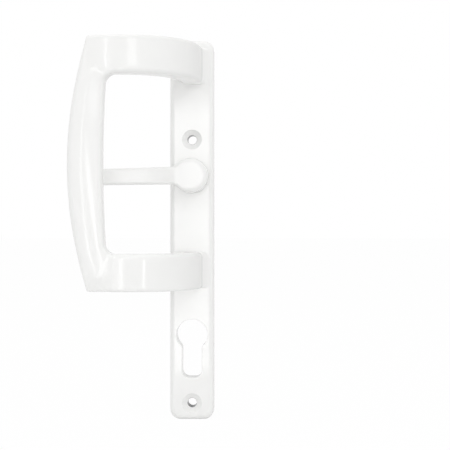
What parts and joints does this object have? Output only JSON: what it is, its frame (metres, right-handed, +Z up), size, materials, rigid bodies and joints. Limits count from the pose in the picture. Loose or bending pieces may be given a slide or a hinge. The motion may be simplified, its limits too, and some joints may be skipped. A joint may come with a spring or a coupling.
{
  "type": "sliding patio door handle",
  "caption": "White bow-shaped pull grip on a long rounded back plate, with a sprung thumb lever and a keyhole cylinder cut-out.",
  "frame": {"origin": "on the lever's turning axis, in the plane of the back face of the plate, which lies against the door", "axes": "+Z up along the plate, +Y into the door along the spindle, +X across the plate away from the grip"},
  "size_m": [0.0782, 0.063, 0.22],
  "materials": {
    "white_coating": "gloss white powder coat on a zinc die casting",
    "acetal": "natural white acetal",
    "plated_steel": "zinc plated",
    "spring_steel": "oiled spring steel"
  },
  "bodies": {
    "back_plate": {"handle_casting": "white_coating", "lever_bush": "acetal", "spring_cup": "acetal", "cassette_cover": "plated_steel", "cover_screws": "plated_steel", "return_spring": "spring_steel"},
    "lever": {"thumb_lever": "white_coating", "spring_driver": "plated_steel", "retaining_washer": "plated_steel", "retaining_ring": "spring_steel"}
  },
  "joints": [
    {"name": "lever_turn", "type": "hinge", "parent": "back_plate", "child": "lever", "pos_m": [0, 0, 0], "axis": [0, 1, 0], "range_deg": [-40, 40], "stiffness_Nm_per_rad": 0.35, "deforming": ["return_spring"]}
  ]
}
